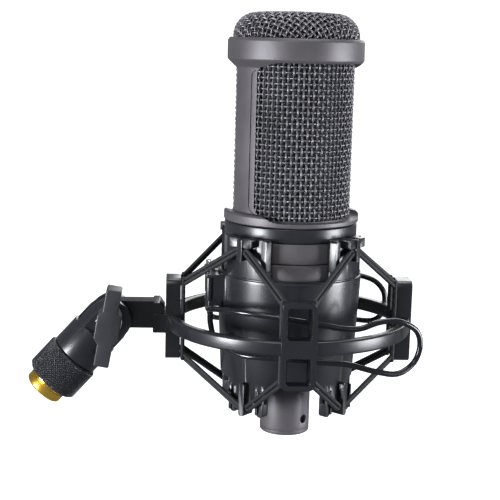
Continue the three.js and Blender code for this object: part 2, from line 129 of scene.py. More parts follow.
# clamp cradle
CRADLE_TURN = 3.5
CRADLE_Z = (24, 65.1)
CRADLE_TOP_R = 28
CRADLE_FOOT_R = 26
CRADLE_BORE_R = 25.9
CRADLE_THROAT_R = 24.2
BORE_STEP_Z = 34
EAR_TOP_Z = 80.4
EAR_SEAM_Z = 64.2
EAR_CUT = 21.8
EARS = (-135, -45, 45, 135)
WING_SIDE = 3.1
RIB_SIDE = 9.3
FIN_STEP = 6.4
TOOTH_FOOT_Z = 11.5
TOOTH_LIP_STEP = 1.15
SKIRT_Z = (17, 26)
SKIRT_HALF_ANGLE = 21
HINGE_X = -30.3
HINGE_ROD_R = 1.2
HINGE_BORE_R = 1.5
BOSS_Z = (54.4, 64.2)
BOSS_X = (-32.6, -26.2)
BOSS_ROOT_X = -21
BOSS_HALF_WIDTH = 11.5
BOSS_CAP = 0.9
KNUCKLE_HALF = 3
COLUMN_R = 1.3
COLUMN_X = (BOSS_X[0] + 1.3, -24.6)
COLUMN_SINK = 0.6
STUB_X = (-31.9, -26)
STUB_Y = (4.6, 9.4)
STUB_DROP = 2.6
WIRE_R = 1.12
SPRING_R = 2
SPRING_WIRE_R = 0.36
SPRING_TURNS = 4
SPRING_PITCH = 0.8

# suspension ring and its elastics
RING_R = (43.8, 47.6)
RING_Z = (42.1, 47.5)
LOOP_R = (42.2, 47.9)
LOOP_Z = (29.6, 61.6)
LOOP_HALF = 6.3
LOOP_BAR = 1.8
LOOP_CORNER = 2.6
LOOP_WINDOW_CORNER = 1.2
LOOP_WINDOW_GAP = 0.6  # what is left between a window and the ring
POSTS = {"front": 0, "right": 90, "rear": 180, "left": 270}
ARM_HALF = 4
ARM_Z = (41.5, 52.1)
BRACKET_X = (-52.8, -41.5)
BRACKET_HALF = 7.6
BRACKET_FOOT_Z = 40.5
SADDLE_X = -48.3
STRAND_R = 0.8
STRAND_GAP = 1.62
# each leg's (side step, radius, height) at its hook on the ear and at its post
LEGS = {
    "upper": ((2.2, 30.2, 75.6), (5.2, 41.3, 60.0)),
    "lower": ((2.4, 27.0, 15.0), (5.2, 41.3, 31.2)),
}
RUN_SIDE = 5.2
RUN_HEIGHTS = (60.6, 46, 30.6)

# stand adapter
PIVOT = (-69.5, 0, 44.8)
ADAPTER_TILT = 42
TONGUE_R = 7.5
CHEEK_R = 8.4
CHEEK_Y = (4.2, 8)
CHEEK_FLAT_MIDDLE = 13
CHEEK_FLAT_HALF = 5
SLOT_FLOOR = -8.8
ADAPTER_R = 9.85
ADAPTER_END = -20.5
SOCKET_R = 10.9
SOCKET_Z = (-34.4, -20.8)
SOCKET_BORE_R = 8.2
KNURL_STARTS = 64
KNURL_DEPTH = 0.42
THREAD_R = (4.7, 7.9)
THREAD_Z = (-39.4, -23)
OUTER_PITCH = 0.94
INNER_PITCH = 1.59
SCREW_SLOT = (0.7, 1.4)  # half its width, and its depth
BOLT_R = 2.5
NUT_R = 4.8
NUT_END = 3.8
WASHER_R = 5
HANDLE_Y = (-20.2, -10.3)
HANDLE_LEAN = 9.3
HANDLE_HALF = 15
HANDLE_LIMB = 2.9
HANDLE_HUB = 4.6
HANDLE_HUB_Z = (4.5, 6.5)
ACROSS = (-20, 20)  # tools that cut right across the adapter

# where the connector end's centre lies in the row frame
barrel_low, barrel_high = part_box("connector_barrel")
AXIS = Vector(((barrel_low[0] + barrel_high[0]) / 2, (barrel_low[1] + barrel_high[1]) / 2, barrel_low[2]))

MIC = Matrix.Rotation(math.radians(MIC_TURN), 4, "Z")
STAND = Matrix.Translation(PIVOT) @ Matrix.Rotation(math.radians(ADAPTER_TILT), 4, "Y")
UPRIGHT = Matrix.Translation(PIVOT)


# ---------------------------------------------------------------- shapes: (vertices, faces) in millimetres
def rounded(points, radius=0.3, steps=3):
    """A closed outline with its corners filleted. A point may carry its own radius as a third number."""
    out = []
    flat = [Vector(point[:2]) for point in points]
    for i, here in enumerate(flat):
        r = points[i][2] if len(points[i]) > 2 else radius
        back = flat[i - 1] - here
        on = flat[(i + 1) % len(flat)] - here
        angle = back.angle(on)
        if r == 0 or angle > math.pi - 0.06:
            out.append(here)
            continue
        reach = min(r / math.tan(angle / 2), 0.45 * back.length, 0.45 * on.length)
        r = reach * math.tan(angle / 2)
        centre = here + (back.normalized() + on.normalized()).normalized() * (r / math.sin(angle / 2))
        first = here + back.normalized() * reach - centre
        last = here + on.normalized() * reach - centre
        sweep_angle = math.pi - angle
        for k in range(steps + 1):
            t = k / steps
            a = math.sin((1 - t) * sweep_angle) / math.sin(sweep_angle)
            b = math.sin(t * sweep_angle) / math.sin(sweep_angle)
            out.append(centre + first * a + last * b)
    return [(p.x, p.y) for p in out]


def lathe(profile, steps=160):
    """Turns a closed (radius, height) profile about Z."""
    profile = np.array(profile, float)
    angle = np.linspace(0, 2 * math.pi, steps, endpoint=False)
    r = profile[:, 0][None, :]
    x = r * np.cos(angle)[:, None]
    y = r * np.sin(angle)[:, None]
    z = np.repeat(profile[:, 1][None, :], steps, axis=0)
    vertices = np.stack([x, y, z], axis=2).reshape(-1, 3)
    return vertices, grid_faces(steps, len(profile), True, True)


def grid_faces(rows, columns, wrap_rows, wrap_columns):
    i, j = np.meshgrid(np.arange(rows if wrap_rows else rows - 1),
                       np.arange(columns if wrap_columns else columns - 1), indexing="ij")
    i, j = i.ravel(), j.ravel()
    i2, j2 = (i + 1) % rows, (j + 1) % columns
    return np.stack([i * columns + j, i * columns + j2, i2 * columns + j2, i2 * columns + j], axis=1).tolist()


def loft(loops):
    """Closed loops of equally many points, joined in order and capped at both ends."""
    count = len(loops[0])
    vertices = np.concatenate([np.array(loop, float) for loop in loops])
    faces = grid_faces(len(loops), count, False, True)
    faces.append(list(range(count)))
    faces.append(list(range((len(loops) - 1) * count, len(loops) * count)))
    return vertices, faces


def slab(outline, y0, y1):
    """An outline in X and Z, given thickness from y0 to y1."""
    return loft([[(x, y, z) for x, z in outline] for y in (y0, y1)])


def block(x, y, z):
    return slab([(x[0], z[0]), (x[1], z[0]), (x[1], z[1]), (x[0], z[1])], *y)


def rectangle(half, low, high, corner):
    return rounded([(-half, low), (half, low), (half, high), (-half, high)], corner, 8)


def rod(radius, z0, z1, edge=0.3, steps=48):
    return lathe(rounded([(0, z0, 0), (radius, z0), (radius, z1), (0, z1, 0)], edge), steps)


def sleeve(inner, outer, z0, z1, edge=0.3, steps=160):
    return lathe(rounded([(inner, z0), (outer, z0), (outer, z1), (inner, z1)], edge), steps)


def moved(shape, matrix):
    vertices, faces = shape
    turn = np.array(matrix.to_3x3())
    return np.asarray(vertices) @ turn.T + np.array(matrix.translation), faces


def facing(shape, degrees):
    return moved(shape, Matrix.Rotation(math.radians(degrees), 4, "Z"))


def along_y(shape):
    return moved(shape, Matrix.Rotation(math.radians(90), 4, "X"))


def together(shapes):
    """Several shapes as one, side by side."""
    vertices, faces, start = [], [], 0
    for shape_vertices, shape_faces in shapes:
        vertices.append(np.asarray(shape_vertices))
        faces += [[k + start for k in face] for face in shape_faces]
        start += len(shape_vertices)
    return np.concatenate(vertices), faces


def smooth(points, steps):
    """A Catmull-Rom curve through the points."""
    p = np.array(points, float)
    p = np.concatenate([[2 * p[0] - p[1]], p, [2 * p[-1] - p[-2]]])
    out = []
    for a, b, c, d in zip(p, p[1:], p[2:], p[3:]):
        for k in range(steps):
            t = k / steps
            out.append(0.5 * (2 * b + (c - a) * t + (2 * a - 5 * b + 4 * c - d) * t * t
                              + (3 * b - a - 3 * c + d) * t ** 3))
    out.append(p[-2])
    return np.array(out)


def sweep(path, radius, sides=10, closed=False):
    """A round bar along a path of points."""
    path = np.array(path, float)
    tangent = np.gradient(path, axis=0)
    if closed:
        tangent = np.roll(path, -1, axis=0) - np.roll(path, 1, axis=0)
    tangent /= np.linalg.norm(tangent, axis=1)[:, None]
    normal = np.cross(tangent[0], [0.31, 0.17, 0.93])
    loops = []
    for point, t in zip(path, tangent):
        normal = normal - t * normal.dot(t)
        normal /= np.linalg.norm(normal)
        side = np.cross(t, normal)
        turn = np.linspace(0, 2 * math.pi, sides, endpoint=False)
        loops.append(point + radius * (np.cos(turn)[:, None] * normal + np.sin(turn)[:, None] * side))
    if closed:
        return np.concatenate(loops), grid_faces(len(loops), sides, True, True)
    return loft(loops)


def bearing(radius, degrees, z):
    turn = math.radians(degrees)
    return (radius * math.sin(turn), -radius * math.cos(turn), z)


def facing_point(side, radius, z, degrees):
    """A point drawn on the front bearing at a side step and radius, turned to another bearing."""
    return np.array(Matrix.Rotation(math.radians(degrees), 3, "Z") @ Vector((side, -radius, z)))


# ---------------------------------------------------------------- objects
def solid(shape, name="tool"):
    """A closed mesh object in the row frame."""
    vertices, faces = shape
    mesh = bpy.data.meshes.new(name)
    mesh.from_pydata((np.asarray(vertices) * MM + np.array(AXIS)).tolist(), [], faces)
    work = bmesh.new()
    work.from_mesh(mesh)
    bmesh.ops.remove_doubles(work, verts=work.verts, dist=1e-8)
    bmesh.ops.recalc_face_normals(work, faces=work.faces)
    work.to_mesh(mesh)
    work.free()
    obj = bpy.data.objects.new(name, mesh)
    bpy.context.scene.collection.objects.link(obj)
    return obj


def bake(obj):
    """Applies the object's modifiers to its mesh."""
    bpy.context.view_layer.update()
    evaluated = obj.evaluated_get(bpy.context.evaluated_depsgraph_get())
    obj.data = bpy.data.meshes.new_from_object(evaluated)
    obj.modifiers.clear()


def boolean(obj, operation, shapes):
    for shape in shapes:
        tool = solid(shape)
        step = obj.modifiers.new("boolean", "BOOLEAN")
        step.operation = operation
        step.solver = "MANIFOLD"
        step.object = tool
        bake(obj)
        bpy.data.objects.remove(tool)
    return obj


def cut(obj, *shapes):
    return boolean(obj, "DIFFERENCE", shapes)


def join(obj, *shapes):
    return boolean(obj, "UNION", shapes)


def common(obj, *shapes):
    return boolean(obj, "INTERSECT", shapes)


def soften(obj, width, steps=2, angle=32):
    """Small radii along the sharp edges."""
    work = bmesh.new()
    work.from_mesh(obj.data)
    bmesh.ops.remove_doubles(work, verts=work.verts, dist=2e-6)
    bmesh.ops.dissolve_degenerate(work, edges=work.edges, dist=2e-6)
    work.to_mesh(obj.data)
    work.free()
    bevel = obj.modifiers.new("bevel", "BEVEL")
    bevel.width = width * MM
    bevel.segments = steps
    bevel.limit_method = "ANGLE"
    bevel.angle_limit = math.radians(angle)
    bevel.miter_outer = "MITER_ARC"
    bake(obj)
    return obj


def piece(obj, name, material, body, replaces=(), sharp=38):
    """Names a finished object, gives it its material and hangs it on its body."""
    obj.name = name
    obj.data.name = name
    obj.data.materials.clear()
    obj.data.materials.append(material)
    obj.data.polygons.foreach_set("use_smooth", [True] * len(obj.data.polygons))
    obj.data.set_sharp_from_angle(angle=math.radians(sharp))
    if body:
        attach(obj, body)
    if replaces:
        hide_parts(*replaces)
    return obj


# ---------------------------------------------------------------- materials
class Nodes:
    """A material's node tree with a Principled shader, written as short calls."""

    def __init__(self, name, **values):
        self.material = bpy.data.materials.new(name)
        self.material.use_nodes = True
        self.tree = self.material.node_tree
        self.shader = self.tree.nodes["Principled BSDF"]
        self.place = self.tree.nodes.new("ShaderNodeTexCoord").outputs["Object"]
        for socket, value in values.items():
            self.shader.inputs[socket.replace("_", " ")].default_value = value

    def link(self, output, socket):
        self.tree.links.new(output, socket)

    def noise(self, scale, detail, roughness=0.6):
        node = self.tree.nodes.new("ShaderNodeTexNoise")
        node.inputs["Scale"].default_value = scale
        node.inputs["Detail"].default_value = detail
        node.inputs["Roughness"].default_value = roughness
        self.link(self.place, node.inputs["Vector"])
        return node.outputs["Fac"]

    def span(self, value, low, high, source=(0.3, 0.7)):
        node = self.tree.nodes.new("ShaderNodeMapRange")
        node.inputs["From Min"].default_value = source[0]
        node.inputs["From Max"].default_value = source[1]
        node.inputs["To Min"].default_value = low
        node.inputs["To Max"].default_value = high
        self.link(value, node.inputs["Value"])
        return node.outputs["Result"]

    def blend(self, value, first, second, source=(0.35, 0.65)):
        ramp = self.tree.nodes.new("ShaderNodeValToRGB")
        ramp.color_ramp.elements[0].position = source[0]
        ramp.color_ramp.elements[1].position = source[1]
        ramp.color_ramp.elements[0].color = (*first, 1)
        ramp.color_ramp.elements[1].color = (*second, 1)
        self.link(value, ramp.inputs["Fac"])
        return ramp.outputs["Color"]

    def bump(self, height, strength, distance):
        node = self.tree.nodes.new("ShaderNodeBump")
        node.inputs["Strength"].default_value = strength
        node.inputs["Distance"].default_value = distance * MM
        self.link(height, node.inputs["Height"])
        self.link(node.outputs["Normal"], self.shader.inputs["Normal"])


def surface(name, first, second, roughness, grain_scale, grain, metallic=0.0, patch_scale=60, **extra):
    """Two close tones in patches, an uneven gloss and a fine grain with its strength and its depth."""
    nodes = Nodes(name, Metallic=metallic, **extra)
    patches = nodes.noise(patch_scale, 5)
    fine = nodes.noise(grain_scale, 3, 0.7)
    nodes.link(nodes.blend(patches, first, second), nodes.shader.inputs["Base Color"])
    nodes.link(nodes.span(patches, *roughness), nodes.shader.inputs["Roughness"])
    nodes.bump(fine, grain[0], grain[1])
    return nodes.material


def grey(value, tint=(1.0, 1.0, 1.0)):
    return tuple(value * part for part in tint)


COOL = (0.9, 0.96, 1.25)
FAINT = (1.0, 0.98, 1.06)
WARM = (1.02, 0.96, 1.04)
LOOKS = {
    "housing": surface("housing_powder_coat", grey(0.082, WARM), grey(0.1, WARM),
                       roughness=(0.42, 0.54), grain_scale=2600, grain=(0.5, 0.1), metallic=0.4),
    "band": surface("band_satin_black", grey(0.010, COOL), grey(0.015, COOL),
                    roughness=(0.28, 0.36), grain_scale=900, grain=(0.06, 0.02)),
    "mesh": surface("mesh_dark_wire", grey(0.12, FAINT), grey(0.17, FAINT),
                    roughness=(0.34, 0.46), grain_scale=1800, grain=(0.2, 0.03), metallic=0.6),
    "plastic": surface("plastic_moulded_black", grey(0.012, COOL), grey(0.015, COOL),
                       roughness=(0.26, 0.31), grain_scale=2200, grain=(0.16, 0.04)),
    "wire": surface("wire_dipped_black", grey(0.008, COOL), grey(0.011, COOL),
                    roughness=(0.16, 0.26), grain_scale=500, grain=(0.05, 0.03)),
    "elastic": surface("elastic_braid", grey(0.005, COOL), grey(0.011, COOL),
                       roughness=(0.6, 0.8), grain_scale=3200, grain=(0.9, 0.15), patch_scale=1500),
    "handle": surface("handle_moulded_black", grey(0.018, COOL), grey(0.024, COOL),
                      roughness=(0.42, 0.56), grain_scale=2000, grain=(0.25, 0.05)),
    "brass": surface("brass_machined", (0.95, 0.58, 0.07), (1.0, 0.68, 0.12),
                     roughness=(0.18, 0.3), grain_scale=800, grain=(0.15, 0.03), metallic=1.0),
    "steel": surface("steel_bright", grey(0.55), grey(0.65),
                     roughness=(0.2, 0.34), grain_scale=1500, grain=(0.12, 0.02), metallic=1.0),
    "board": surface("board_solder_resist", (0.01, 0.09, 0.04), (0.02, 0.13, 0.06),
                     roughness=(0.3, 0.4), grain_scale=600, grain=(0.2, 0.05)),
    "film": surface("film_metallised", (0.7, 0.5, 0.18), (0.8, 0.6, 0.25),
                    roughness=(0.2, 0.3), grain_scale=400, grain=(0.1, 0.02), metallic=0.8),
    "insulator": surface("insulator_moulded", grey(0.012), grey(0.018),
                         roughness=(0.45, 0.55), grain_scale=1500, grain=(0.2, 0.05)),
}
# painted shade: the linings' near-black tone stands in for the shade inside the grille and under the dome,
# besides being the inner layer's own dark colour
LINING_PAINTED_SHADE = surface("mesh_lining_painted_shade", grey(0.022, COOL), grey(0.034, COOL),
                 roughness=(0.75, 0.9), grain_scale=1400, grain=(0.8, 0.2), patch_scale=700)


# ---------------------------------------------------------------- microphone
def window_tool(side, wider=0.0, deeper=0.0):
    """The window through the front (side 1) or the back. The wider, deeper one cuts its sunk border."""
    low, high = WINDOW_Z
    outline = rectangle(WINDOW_HALF + wider, low - deeper, high, WINDOW_CORNER + wider)
    return moved(loft([[(x, y * side, z) for x, z in outline] for y in WINDOW_TOOL_Y]), MIC)


def grille_frame():
    edge = COLLAR_R
    profile = [
        (POST_BORE_R, FOOT_Z[0]), (edge - 0.4, FOOT_Z[0]), (edge, FOOT_Z[0] + 0.4), (edge, FOOT_Z[1] - 0.7),
        (edge - 0.8, FOOT_Z[1]), (POST_R, FOOT_Z[1], 0.5), (POST_R, COLLAR_Z[0], 1.2),
        (edge - 0.5, COLLAR_Z[0] + 2.4, 0.8), (edge, COLLAR_Z[0] + 3.1, 0.8), (edge, COLLAR_Z[1] - 1.1, 0.6),
        (edge - 0.9, COLLAR_Z[1], 0.6), (DOME_R + 0.6, COLLAR_Z[1]), (DOME_R + 0.6, DOME_BASE_Z - GAP),
        (POST_BORE_R, DOME_BASE_Z - 1.6),
    ]
    obj = solid(moved(lathe(rounded(profile, 0.25), 240), MIC))
    cut(obj, window_tool(1, STEP_WIDTH, STEP_FOOT), window_tool(-1, STEP_WIDTH, STEP_FOOT))
    liner = sleeve(POST_BORE_R + 0.05, POST_R - STEP_DEPTH, FOOT_Z[0] + 0.1, COLLAR_Z[0] + 2, 0, 240)
    join(obj, moved(liner, MIC))
    cut(obj, window_tool(1), window_tool(-1))
    piece(obj, "grille_frame_cast", LOOKS["housing"], "microphone", ["grille_frame"], 24)


def weave_cylinder(radius, around, pitch, low, rows, wire):
    """Plain weave on a cylinder: upright wires and hoops that pass over and under each other."""
    lift = wire * 0.98
    shapes = []
    heights = np.arange(-2, rows * 4 + 3) / 4
    for i in range(around):
        turn = 2 * math.pi * i / around
        r = radius + lift * np.cos(math.pi * (heights + i))
        path = np.stack([r * math.cos(turn), r * math.sin(turn), low + heights * pitch], axis=1)
        shapes.append(sweep(path, wire, 6))
    turns = np.arange(around * 4) / 4
    for j in range(rows + 1):
        r = radius - lift * np.cos(math.pi * (turns + j))
        angle = 2 * math.pi * turns / around
        path = np.stack([r * np.cos(angle), r * np.sin(angle), np.full(len(turns), low + j * pitch)], axis=1)
        shapes.append(sweep(path, wire, 6, closed=True))
    return together(shapes)


def side_mesh():
    weave = weave_cylinder(MESH_R, MESH_UPRIGHTS, MESH_PITCH, MESH_FOOT_Z, MESH_HOOPS, MESH_WIRE)
    weave = solid(moved(weave, MIC))
    piece(weave, "side_mesh_weave", LOOKS["mesh"], "microphone", ["side_mesh"], 80)
    # the side mesh's lining: a real inner layer that is also a dark sheet of painted shade, darkening the
    # inside behind the wires
    lining_and_shade = sleeve(*LINING_R, *LINING_Z, 0.1, 96)
    piece(solid(lining_and_shade), "side_mesh_lining_painted_shade", LINING_PAINTED_SHADE, "microphone")


def dome_section(distance, offset):
    """Radius and height on the pressed dome at a distance along its surface from the crown."""
    flat_r = DOME_R - DOME_EDGE_R
    edge = DOME_EDGE_R
    rise = DOME_TOP_Z - DOME_SHOULDER_Z - edge
    if distance < flat_r:
        share = distance / flat_r
        return distance, DOME_TOP_Z - rise * share * share + offset
    bend = (distance - flat_r) / edge
    if bend < math.pi / 2:
        return flat_r + (edge + offset) * math.sin(bend), DOME_SHOULDER_Z + (edge + offset) * math.cos(bend)
    drop = distance - flat_r - edge * math.pi / 2
    return DOME_R + offset, DOME_SHOULDER_Z - drop


def dome_weave(pitch, wire, depth, turn):
    """A flat woven sheet pressed over the dome: straight wires in the sheet follow its surface."""
    flat_r = DOME_R - DOME_EDGE_R
    reach = flat_r + DOME_EDGE_R * math.pi / 2 + DOME_SHOULDER_Z - DOME_BASE_Z - 0.2
    count = int(reach / pitch)
    shapes = []
    for way in (0, 1):
        for i in range(-count, count + 1):
            across = i * pitch
            half = math.sqrt(reach * reach - across * across)
            steps = max(8, int(half * 2 / pitch * 4))
            path = []
            for k in range(steps + 1):
                along = -half + 2 * half * k / steps
                phase = along / pitch + i + way
                offset = depth + wire * 0.95 * math.cos(math.pi * phase)
                u, v = (along, across) if way else (across, along)
                angle = math.atan2(v, u) + turn
                r, z = dome_section(math.hypot(u, v), offset)
                path.append((r * math.cos(angle), r * math.sin(angle), z))
            shapes.append(sweep(path, wire, 6))
    return together(shapes)


def dome_mesh():
    outer = dome_weave(pitch=2.1, wire=0.38, depth=-0.2, turn=math.radians(20))
    inner = dome_weave(pitch=1.9, wire=0.3, depth=-1.5, turn=math.radians(57))
    weave = solid(moved(together([outer, inner]), MIC))
    piece(weave, "dome_mesh_weave", LOOKS["mesh"], "microphone", ["dome_mesh"], 80)
    # the dome's lining: a real inner layer that is also a dark sheet of painted shade under the weave
    outside = [dome_section(s, -2.4) for s in np.linspace(0, DOME_LINING_REACH, 36)]
    inside = [dome_section(s, -2.8) for s in np.linspace(DOME_LINING_REACH, 0, 36)]
    piece(solid(lathe(outside + inside, 96)), "dome_mesh_lining_painted_shade", LINING_PAINTED_SHADE, "microphone")


def housing():
    band = sleeve(HOUSING_BORE_R, BAND_R, *BAND_Z, 0.35, 240)
    piece(solid(band), "body_band_ring", LOOKS["band"], "microphone", ["body_band"])
    collar = sleeve(HOUSING_BORE_R, CASE_R, *UPPER_CASE_Z, 0.3, 240)
    piece(solid(collar), "upper_case_ring", LOOKS["housing"], "microphone", ["upper_case"])
    foot, top = LOWER_CASE_Z
    case = [
        (BARREL_BORE_R, foot), (BARREL_R, foot), (13, 23.8, 1), (20, 26, 3), (24, 29.5, 3), (CASE_R, 33, 3),
        (CASE_R, top, 0.5), (CASE_R - 2, top), (CASE_R - 2, 34), (21.6, 30.6), (17, 28),
        (BARREL_BORE_R, 26),
    ]
    obj = solid(lathe(rounded(case, 0.3), 240))
    piece(obj, "lower_case_shell", LOOKS["housing"], "microphone", ["lower_case"])


def connector():
    edge = BARREL_R
    groove = edge - 0.25
    profile = [(BARREL_BORE_R, 0), (edge, 0, 0.7), (edge, 1.6, 0.1), (groove, 1.8, 0.1), (groove, 2.1, 0.1),
               (edge, 2.3, 0.1), (edge, BARREL_TOP_Z), (BARREL_BORE_R, BARREL_TOP_Z)]
    obj = solid(lathe(rounded(profile, 0.3), 160))
    hole = moved(along_y(rod(BARREL_HOLE_R, 0, 2 * edge, 0, 40)), Matrix.Translation((0, 0, BARREL_HOLE_Z)))
    cut(obj, facing(hole, BARREL_HOLE_BEARING))
    soften(obj, 0.15)
    piece(obj, "connector_barrel_turned", LOOKS["housing"], "microphone", ["connector_barrel"])
    for i, degrees in enumerate(CONTACT_BEARINGS):
        place = Matrix.Translation(bearing(CONTACT_CIRCLE_R, degrees, 0))
        pin = moved(rod(CONTACT_R, *CONTACT_Z, 0.9, 32), MIC @ place)
        piece(solid(pin), f"connector_contact_{i + 1}", LOOKS["steel"], "microphone",
              [f"connector_pin_{i + 1}"])


# ---------------------------------------------------------------- clamp cradle
def fin(radii, side, thick, heights, corner=0.5):
    """A hook fin on the front bearing: its outline is drawn across and up, with round outer corners."""
    outline = rounded([(side - thick / 2, heights[0]), (side + thick / 2, heights[0]),
                       (side + thick / 2, heights[1]), (side - thick / 2, heights[1])], corner)
    return slab(outline, -radii[1], -radii[0])


def skirt():
    """A short stretch of the sleeve that carries an ear's lower teeth."""
    inner, outer = CRADLE_THROAT_R, CRADLE_FOOT_R
    half = math.radians(SKIRT_HALF_ANGLE)
    turns = np.linspace(-half, half, 25)
    outline = [(outer * math.sin(a), -outer * math.cos(a)) for a in turns]
    outline += [(inner * math.sin(a), -inner * math.cos(a)) for a in turns[::-1]]
    return loft([[(x, y, z) for x, y in outline] for z in SKIRT_Z])


def hook_fins(ear):
    """A T-shaped hook above, a rib beside the open front or back, and three teeth below on a skirt."""
    rib_side = -math.copysign(RIB_SIDE, math.sin(math.radians(2 * ear)))
    fins = [
        fin([26.2, 31.8], 0, 2.3, [72, EAR_TOP_Z], 0.7),
        fin([26.2, 31.3], WING_SIDE, 3.6, [77.2, EAR_TOP_Z + 0.3], 0.4),
        fin([26.2, 31.3], -WING_SIDE, 3.6, [77.2, EAR_TOP_Z + 0.3], 0.4),
        fin([26, 28.9], rib_side, 2.4, [68.6, EAR_TOP_Z - 0.2], 0.6),
        fin([22.5, 28.4], 0, 2.4, [TOOTH_FOOT_Z, 24.6], 1.1),
        skirt(),
    ]
    for side in (-FIN_STEP, FIN_STEP):
        fins.append(fin([22, 25], side, 3.5, [TOOTH_FOOT_Z, 24], 1.5))
        for edge in (-TOOTH_LIP_STEP, TOOTH_LIP_STEP):
            fins.append(fin([24, 25.8], side + edge, 1.1, [12.4, 22], 0.5))
    return fins


def cradle_body():
    """The whole sleeve of the clamp, before it is split into its halves."""
    foot, rim = CRADLE_Z
    seam, top = EAR_SEAM_Z, CRADLE_TOP_R
    shell = [
        (CRADLE_THROAT_R, foot), (CRADLE_FOOT_R, foot, 0.5), (top - 0.5, 53, 20), (top, seam - 1, 2),
        (top, seam), (top - 0.4, seam + 0.3, 0.1), (top - 0.4, seam + 0.6, 0.1),
        (top - 0.1, seam + 0.9), (top - 0.1, EAR_TOP_Z, 0.4), (CRADLE_BORE_R, EAR_TOP_Z),
        (CRADLE_BORE_R, BORE_STEP_Z), (24.6, 29.5),
    ]
    obj = solid(lathe(rounded(shell, 0.15), 200))
    join(obj, *[facing(one, degrees + CRADLE_TURN) for degrees in EARS for one in hook_fins(degrees)])
    half = EAR_CUT / 2
    notch = slab(rounded([(-half, rim, 1.4), (half, rim, 1.4), (half, 90, 0), (-half, 90, 0)]), -40, -10)
    cut(obj, *[facing(notch, degrees + CRADLE_TURN) for degrees in POSTS.values()])
    cut(obj, upper_bore(), rod(CRADLE_THROAT_R, 24.001, 34.2, 0, 200), rod(22, 5, 24.3, 0, 120))
    return obj


def upper_bore():
    """The space that the microphone's case slides in."""
    return rod(CRADLE_BORE_R, BORE_STEP_Z, 95, 0, 200)


def upright(outline, heights):
    """An outline in X and Y, given height."""
    return loft([[(x, y, z) for x, y in outline] for z in heights])


def boss_shapes(side):
    """The hinge boss of one half: its block, a cap, a smaller stub below and two round columns."""
    low, high = BOSS_Z
    outer, root = BOSS_X[0], BOSS_ROOT_X
    near, front = (KNUCKLE_HALF + 1) * side, BOSS_HALF_WIDTH * side
    block_outline = rounded([(outer, near), (outer, front, 1.2), (root, front), (root, near)], 0.3, 6)
    cap_outline = [(x - 0.35 if x < -27 else x, y + (0.35 * side if abs(y) > 10 else 0))
                   for x, y in block_outline]
    shapes = [
        upright(block_outline, BOSS_Z),
        upright(cap_outline, (high - BOSS_CAP, high + 0.2)),
        upright(boss_stub(side), (low - STUB_DROP, low + 1)),
    ]
    for x in COLUMN_X:
        place = Matrix.Translation((x, front - COLUMN_SINK * side, 0))
        shapes.append(moved(rod(COLUMN_R, low, high - BOSS_CAP, 0.2, 32), place))
    return shapes


def boss_stub(side):
    """The smaller block under the boss that the hairpin's ends are set in."""
    (outer, inner), (near, far) = STUB_X, STUB_Y
    near, far = near * side, far * side
    return rounded([(outer, near), (outer, far), (inner, far), (inner, near)], 0.8)


def clamp_half(name, side, node):
    """side is -1 for the front half and 1 for the rear half, whose knuckle is the lower one."""
    middle = sum(BOSS_Z) / 2
    lower = (BOSS_Z[0], middle - GAP / 2)
    upper = (middle + GAP / 2, BOSS_Z[1])
    below = (BOSS_Z[0] - GAP, middle + GAP / 2)
    above = (middle - GAP / 2, BOSS_Z[1] + GAP)
    knuckle_z, other_z = (upper, below) if side < 0 else (lower, above)
    half = KNUCKLE_HALF
    obj = cradle_body()
    common(obj, block((-60, 60), sorted((GAP / 2 * side, 60 * side)), (0, 100)))
    cut(obj, block((BOSS_X[0] - 1, BOSS_X[1] + 2), (-half - 1, half + 1), other_z))
    block_shape, cap, stub, *columns = boss_shapes(side)
    knuckle = block((BOSS_X[0] + 0.2, BOSS_X[1]), sorted((-half * side, (half + 2) * side)), knuckle_z)
    join(obj, block_shape, cap, stub, knuckle, *columns)
    cut(obj, moved(rod(HINGE_BORE_R, 40, 72, 0, 32), Matrix.Translation((HINGE_X, 0, 0))), upper_bore())
    soften(obj, 0.2)
    body = "front_clamp" if side < 0 else "rear_clamp"
    piece(obj, name, LOOKS["plastic"], body, [node])


# the hairpins' routes as (radius, bearing, height); both start and end alike and differ in between
HAIRPIN_START = [(31, -81, 53.6), (31.8, -79, 51.4), (33.2, -72, 50.8), (35, -56, 52.9)]
HAIRPIN_END = [(36.8, -3, 38.1), (36.4, -20, 38.3), (36, -34, 38.2), (35, -54, 40.4), (33, -68, 45),
               (31.8, -75, 50), (31, -76.5, 53.6)]
FRONT_HAIRPIN = [
    (36.3, -32, 54.2), (36.8, -4, 53.4), (37.2, 13, 51.4), (38, 28, 49.3), (39.6, 38, 48.9), (43.6, 47, 51.1),
    (48.4, 54.5, 50.9), (52.8, 61, 47), (54.2, 62.5, 41), (52.4, 61, 34.4), (48.6, 54, 31), (44, 44, 32.6),
    (39, 30, 35.8), (37, 14, 37.1),
]
REAR_HAIRPIN = [
    (36.3, -32, 54.9), (37, -4, 56.2), (37.6, 20, 57), (39.5, 38, 57.3), (43.5, 47, 57), (47.6, 54, 55),
    (50.2, 57.4, 50.9), (50.8, 58, 46), (50.3, 57, 41.2), (47.6, 53.5, 38), (43, 45, 37.8), (39, 30, 38),
    (37.4, 14, 38.1),
]


def handle_wire(name, bend, side, body, node):
    """A hairpin of round wire: out inside the ring, over it, round and back below it."""
    points = [bearing(*stop) for stop in HAIRPIN_START + bend + HAIRPIN_END]
    path = smooth([(x, y * side, z) for x, y, z in points], 12)
    piece(solid(sweep(path, WIRE_R, 20)), name, LOOKS["wire"], body, [node])


